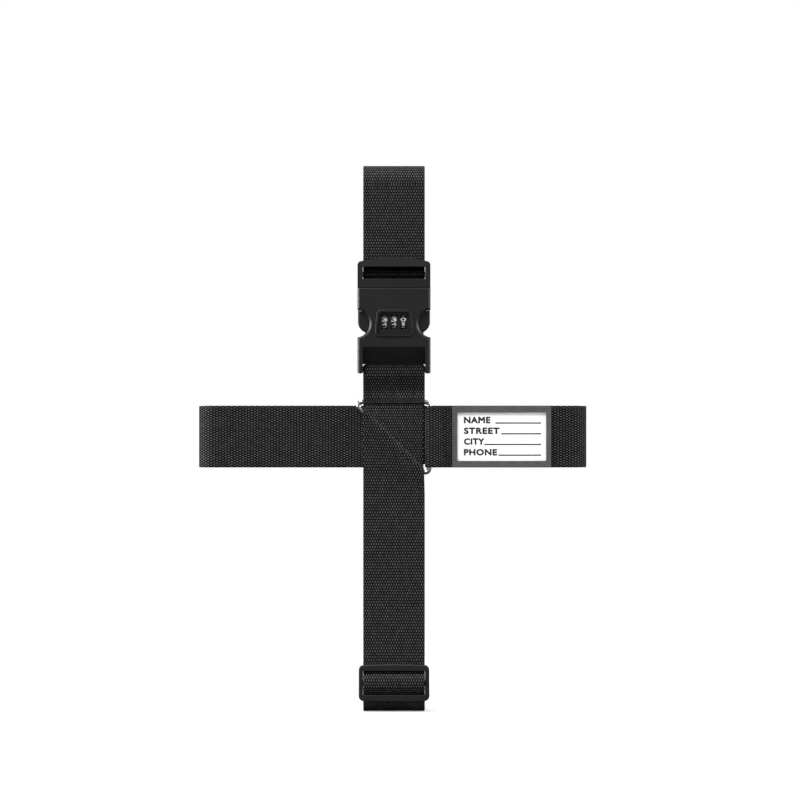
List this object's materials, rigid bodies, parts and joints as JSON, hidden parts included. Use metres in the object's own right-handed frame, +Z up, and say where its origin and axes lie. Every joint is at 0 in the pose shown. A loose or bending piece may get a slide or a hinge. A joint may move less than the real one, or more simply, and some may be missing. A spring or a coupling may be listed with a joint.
{
  "type": "luggage strap",
  "caption": "Black cross-shaped webbing luggage strap with triangle ring, combination-lock side-release buckle, slider and address tag, set to a cabin case.",
  "frame": {"origin": "middle of the bottom run's outer face, where the strap round a standing case meets the floor", "axes": "+Z up the upright loop, +X to the right seen from the buckle's side, the buckle and the crossing are on the -Y side"},
  "size_m": [0.3155, 0.2224, 0.444],
  "materials": {
    "webbing": "woven polypropylene webbing, satin sheen",
    "buckle_plastic": "fine textured moulded acetal",
    "ring_chrome": "bright plated wire",
    "steel": "bright steel",
    "dial_plastic": "black moulded wheels with printed white digits",
    "brass": "turned brass",
    "tag_leatherette": "grey leatherette, fine grain",
    "card": "white printed card",
    "clear_film": "clear vinyl film"
  },
  "bodies": {
    "strap": {"buckle_run_inner_webbing": "webbing", "buckle_run_outer_webbing": "webbing", "cover_screws": "steel", "detent_spring": "steel", "dial_axle": "steel", "female_back_cover": "buckle_plastic", "female_front_shell": "buckle_plastic", "fold_webbing": "webbing", "front_run_webbing": "webbing", "inner_loop_webbing": "webbing", "level_loop_webbing": "webbing", "link_webbing": "webbing", "outer_loop_webbing": "webbing", "reset_spring": "steel", "ring_end_webbing": "webbing", "slider_tail_webbing": "webbing", "tag_backing": "tag_leatherette", "tag_frame": "tag_leatherette", "tag_window": "clear_film", "triangle_ring": "ring_chrome"},
    "male_half": {"male_frame": "buckle_plastic", "ladder_bar_webbing": "webbing"},
    "prong_left": {"prong_left": "buckle_plastic"},
    "prong_right": {"prong_right": "buckle_plastic"},
    "latch": {"latch_plate": "buckle_plastic"},
    "dial_left": {"dial_left": "dial_plastic", "cam_sleeve_left": "brass"},
    "dial_middle": {"dial_middle": "dial_plastic", "cam_sleeve_middle": "brass"},
    "dial_right": {"dial_right": "dial_plastic", "cam_sleeve_right": "brass"},
    "slider": {"slider_frame": "buckle_plastic", "slider_sewn_end_webbing": "webbing", "slider_over_bar_webbing": "webbing"},
    "card": {"tag_card": "card"},
    "reset_button": {"reset_button": "buckle_plastic"}
  },
  "joints": [
    {"name": "buckle_release", "type": "slide", "parent": "strap", "child": "male_half", "axis": [0, 0, 1], "range_m": [0, 0.042], "deforming": ["buckle_run_inner_webbing", "buckle_run_outer_webbing", "prong_left", "prong_right"]},
    {"name": "prong_left_squeeze", "type": "hinge", "parent": "male_half", "child": "prong_left", "pos_m": [-0.0205, -0.1092, 0.338], "axis": [0, -1, 0], "range_deg": [0, 8], "stiffness_Nm_per_rad": 0.35},
    {"name": "prong_right_squeeze", "type": "hinge", "parent": "male_half", "child": "prong_right", "pos_m": [0.0205, -0.1092, 0.338], "axis": [0, -1, 0], "range_deg": [-8, 0], "stiffness_Nm_per_rad": 0.35},
    {"name": "latch_drop", "type": "slide", "parent": "strap", "child": "latch", "axis": [0, 0, -1], "range_m": [0, 0.0019], "stiffness_N_per_m": 30, "deforming": ["latch_plate"]},
    {"name": "dial_left_turn", "type": "hinge", "parent": "strap", "child": "dial_left", "pos_m": [-0.0076, -0.1101, 0.3164], "axis": [1, 0, 0], "continuous": true},
    {"name": "dial_middle_turn", "type": "hinge", "parent": "strap", "child": "dial_middle", "pos_m": [0, -0.1101, 0.3164], "axis": [1, 0, 0], "continuous": true},
    {"name": "dial_right_turn", "type": "hinge", "parent": "strap", "child": "dial_right", "pos_m": [0.0076, -0.1101, 0.3164], "axis": [1, 0, 0], "continuous": true},
    {"name": "slider_adjust", "type": "slide", "parent": "strap", "child": "slider", "axis": [0, 0, 1], "range_m": [0, 0.11], "deforming": ["slider_tail_webbing"]},
    {"name": "card_slide", "type": "slide", "parent": "strap", "child": "card", "axis": [1, 0, 0], "range_m": [0, 0.075]},
    {"name": "reset_press", "type": "slide", "parent": "strap", "child": "reset_button", "axis": [0, -1, 0], "range_m": [0, 0.0015], "stiffness_N_per_m": 400, "deforming": ["reset_spring"]}
  ],
  "couplings": [
    {"joint": "prong_left_squeeze", "follows": "latch_drop", "rad_per_m": 73.414},
    {"joint": "prong_right_squeeze", "follows": "latch_drop", "rad_per_m": -73.414}
  ]
}
